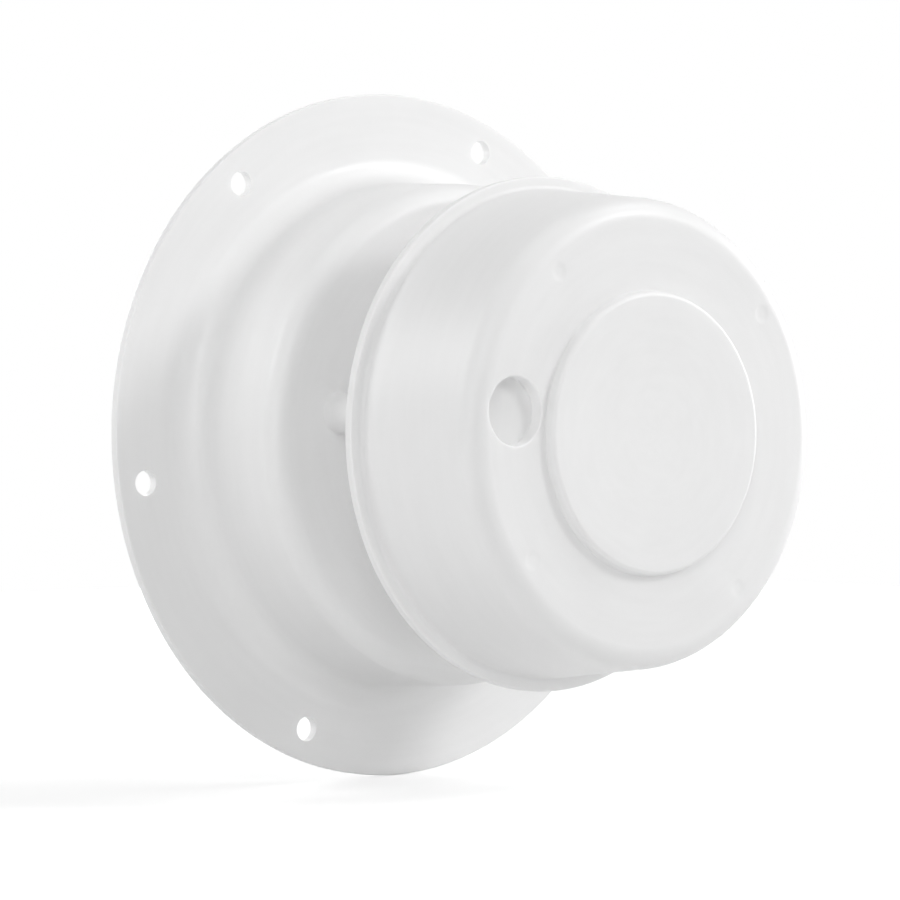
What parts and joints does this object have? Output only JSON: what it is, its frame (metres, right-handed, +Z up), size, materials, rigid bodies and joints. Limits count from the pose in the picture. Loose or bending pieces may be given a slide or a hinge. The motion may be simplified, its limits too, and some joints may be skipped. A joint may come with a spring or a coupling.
{
  "type": "sewer vent cap",
  "caption": "White moulded plumbing vent: a round screw-down flange with a hollow raised body, and a pull-off cap held above it on posts so that air leaves all round.",
  "frame": {"origin": "centre of the flange's underside, where it lies on the roof", "axes": "+Z up out of the roof along the vent's axis, the way the cap pulls off; the post under the cap's small recess stands at 173.4 degrees from +X about +Z"},
  "size_m": [0.184, 0.184, 0.105],
  "materials": {
    "base_plastic": "white moulded polypropylene, satin gloss",
    "cap_plastic": "white moulded polypropylene, satin gloss"
  },
  "bodies": {
    "base": {"base": "base_plastic"},
    "cap": {"cap": "cap_plastic"}
  },
  "joints": [
    {"name": "cap_pull", "type": "slide", "parent": "base", "child": "cap", "axis": [0, 0, 1], "range_m": [0, 0.05]}
  ]
}
